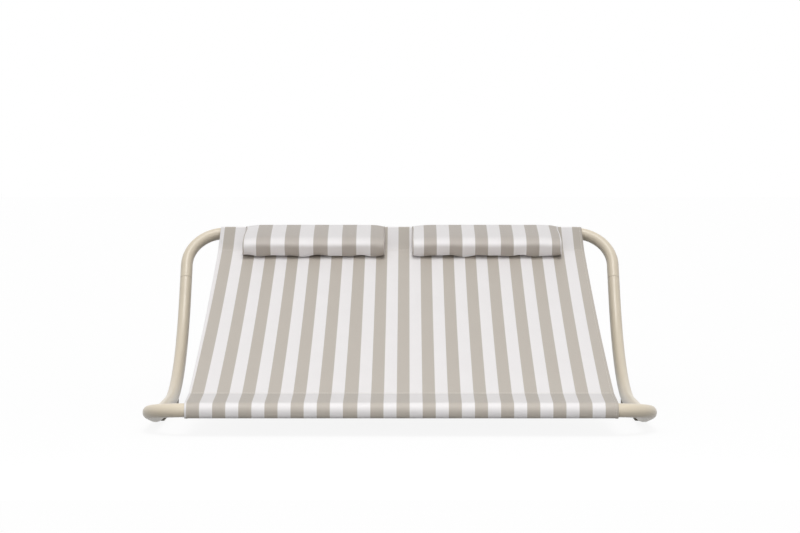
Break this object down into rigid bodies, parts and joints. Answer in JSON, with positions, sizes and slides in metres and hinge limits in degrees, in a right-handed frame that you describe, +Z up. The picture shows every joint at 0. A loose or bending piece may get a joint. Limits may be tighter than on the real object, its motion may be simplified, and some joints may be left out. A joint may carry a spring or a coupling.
{
  "type": "double chaise lounger",
  "caption": "Low sling lounger for side-by-side lying on one bent tube frame, with sliding head pillows held by counterweights.",
  "frame": {"origin": "on the floor, under the middle of the whole lounger's box", "axes": "+Z up, +Y from the foot bar to the head bar, +X across the lounger"},
  "size_m": [1.412, 1.4518, 0.5352],
  "materials": {
    "powder_coated_tube": "satin powder coat, beige",
    "spigot_steel": "zinc plated",
    "fastener_steel": "zinc plated",
    "glide_plastic": "moulded, matt",
    "sling_cloth": "woven stripes, white and warm grey",
    "pillow_cloth": "woven stripes, white and warm grey",
    "flap_cloth": "woven stripes, white and warm grey",
    "pillow_filling": "loose polyester fibre",
    "weight_steel": "plain bar"
  },
  "bodies": {
    "frame": {"head_tube": "powder_coated_tube", "rail_left": "powder_coated_tube", "rail_right": "powder_coated_tube", "foot_bar": "powder_coated_tube", "head_spigot_left": "spigot_steel", "head_spigot_right": "spigot_steel", "foot_spigot_left": "spigot_steel", "foot_spigot_right": "spigot_steel", "leg_joint_screws": "fastener_steel", "leg_rivet_nuts": "fastener_steel", "foot_spring_buttons": "fastener_steel", "glide_front_left": "glide_plastic", "glide_front_right": "glide_plastic", "glide_rear_left": "glide_plastic", "glide_rear_right": "glide_plastic", "sling": "sling_cloth", "flap_wrap_left": "flap_cloth", "flap_wrap_right": "flap_cloth"},
    "pillow_left": {"pillow_cover_left": "pillow_cloth", "pillow_fill_left": "pillow_filling", "flap_front_left": "flap_cloth"},
    "weight_left": {"flap_drop_left": "flap_cloth", "weight_pouch_left": "flap_cloth", "weight_bar_left": "weight_steel"},
    "pillow_right": {"pillow_cover_right": "pillow_cloth", "pillow_fill_right": "pillow_filling", "flap_front_right": "flap_cloth"},
    "weight_right": {"flap_drop_right": "flap_cloth", "weight_pouch_right": "flap_cloth", "weight_bar_right": "weight_steel"}
  },
  "joints": [
    {"name": "pillow_left_slide", "type": "slide", "parent": "frame", "child": "pillow_left", "axis": [0, -0.9424, -0.3344], "range_m": [0, 0.2], "deforming": ["flap_front_left"]},
    {"name": "pillow_right_slide", "type": "slide", "parent": "frame", "child": "pillow_right", "axis": [0, -0.9424, -0.3344], "range_m": [0, 0.2], "deforming": ["flap_front_right"]},
    {"name": "weight_left_lift", "type": "slide", "parent": "frame", "child": "weight_left", "axis": [0, 0, 1], "range_m": [0, 0.2], "deforming": ["flap_drop_left"]},
    {"name": "weight_right_lift", "type": "slide", "parent": "frame", "child": "weight_right", "axis": [0, 0, 1], "range_m": [0, 0.2], "deforming": ["flap_drop_right"]}
  ],
  "couplings": [
    {"joint": "weight_left_lift", "follows": "pillow_left_slide", "ratio": 1},
    {"joint": "weight_right_lift", "follows": "pillow_right_slide", "ratio": 1}
  ]
}
